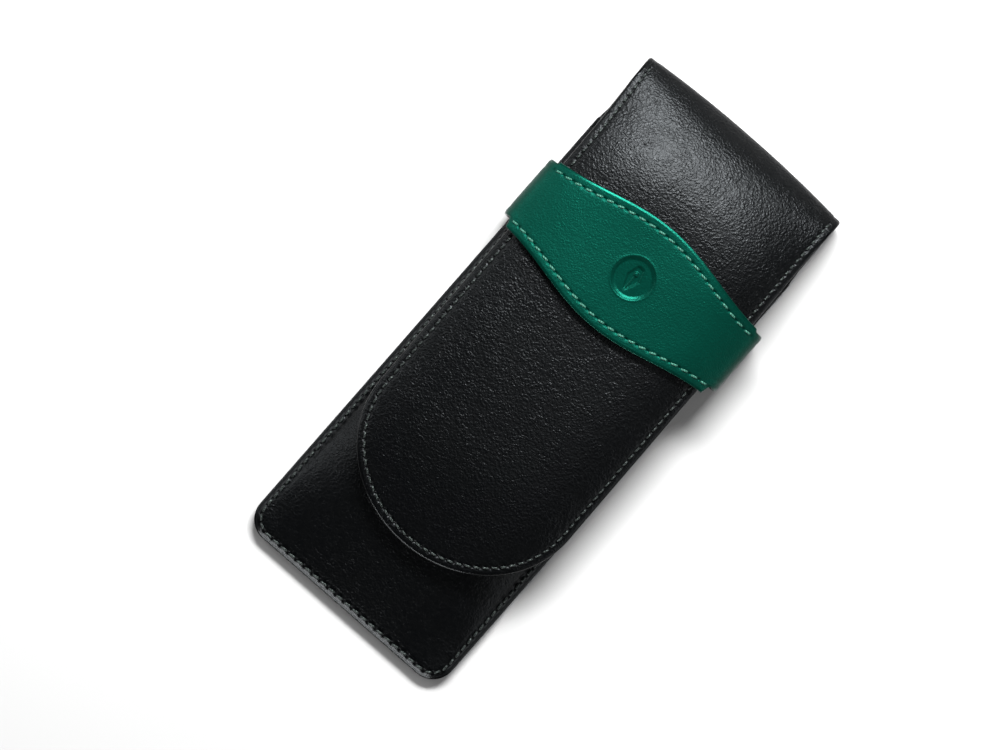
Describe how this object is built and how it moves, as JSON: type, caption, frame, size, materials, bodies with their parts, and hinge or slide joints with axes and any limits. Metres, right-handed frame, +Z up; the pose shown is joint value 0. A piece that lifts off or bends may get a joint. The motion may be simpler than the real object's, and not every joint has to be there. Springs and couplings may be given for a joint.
{
  "type": "fountain pen case",
  "caption": "Leather case for fountain pens: sewn pocket with partitions, long fold-over flap with a round tail, and a keeper strap across the front.",
  "frame": {"origin": "under the middle of the bounding box, on the surface that the case lies on", "axes": "+X across the case, +Y along it towards the fold of the flap, +Z up through the flap and the strap"},
  "size_m": [0.0706, 0.16, 0.0215],
  "materials": {
    "black_leather": "soft grained black nappa, semi-matt with a soft sheen",
    "green_leather": "smooth fine-grained green leather, satin",
    "lining": "thin black suede lining, matt",
    "stiffener": "bonded leather board, matt, hidden between the layers",
    "black_thread": "waxed black sewing thread",
    "green_thread": "waxed green sewing thread"
  },
  "bodies": {
    "root": {"back_leather": "black_leather", "back_board": "stiffener", "back_lining": "lining", "front_leather": "black_leather", "front_padding": "stiffener", "front_lining": "lining", "divider_left": "lining", "divider_right": "lining", "seam_stitching_left": "black_thread", "seam_stitching_right": "black_thread", "seam_stitching_bottom": "black_thread", "mouth_stitching": "black_thread", "strap_leather": "green_leather", "strap_stiffener": "stiffener", "strap_lining": "lining", "strap_stitching_upper": "green_thread", "strap_stitching_lower": "green_thread"},
    "fold": {"fold_leather": "black_leather", "fold_lining": "lining"},
    "shoulder": {"shoulder_leather": "black_leather", "shoulder_lining": "lining", "shoulder_stitching": "black_thread"},
    "flap": {"flap_leather": "black_leather", "flap_stiffener": "stiffener", "flap_lining": "lining", "flap_stitching_left": "black_thread", "flap_stitching_right": "black_thread", "flap_stitching_tail": "black_thread"}
  },
  "joints": [
    {"name": "flap_open", "type": "hinge", "parent": "root", "child": "fold", "pos_m": [0, 0.07799, 0.00129], "axis": [-1, 0, 0], "range_deg": [0, 76.1], "deforming": ["fold_leather", "fold_lining"]},
    {"name": "fold_upper_bend", "type": "hinge", "parent": "fold", "child": "shoulder", "pos_m": [0, 0.07923, 0.00632], "axis": [-1, 0, 0], "range_deg": [0, 76.1], "deforming": ["shoulder_leather", "shoulder_lining", "shoulder_stitching"]},
    {"name": "flap_level_bend", "type": "hinge", "parent": "shoulder", "child": "flap", "pos_m": [0, 0.05751, 0.01808], "axis": [-1, 0, 0], "range_deg": [0, 27.8], "deforming": ["flap_leather", "flap_stiffener", "flap_lining", "flap_stitching_left", "flap_stitching_right", "flap_stitching_tail"]}
  ],
  "couplings": [
    {"joint": "fold_upper_bend", "follows": "flap_open", "ratio": 1},
    {"joint": "flap_level_bend", "follows": "flap_open", "ratio": 0.36531}
  ]
}
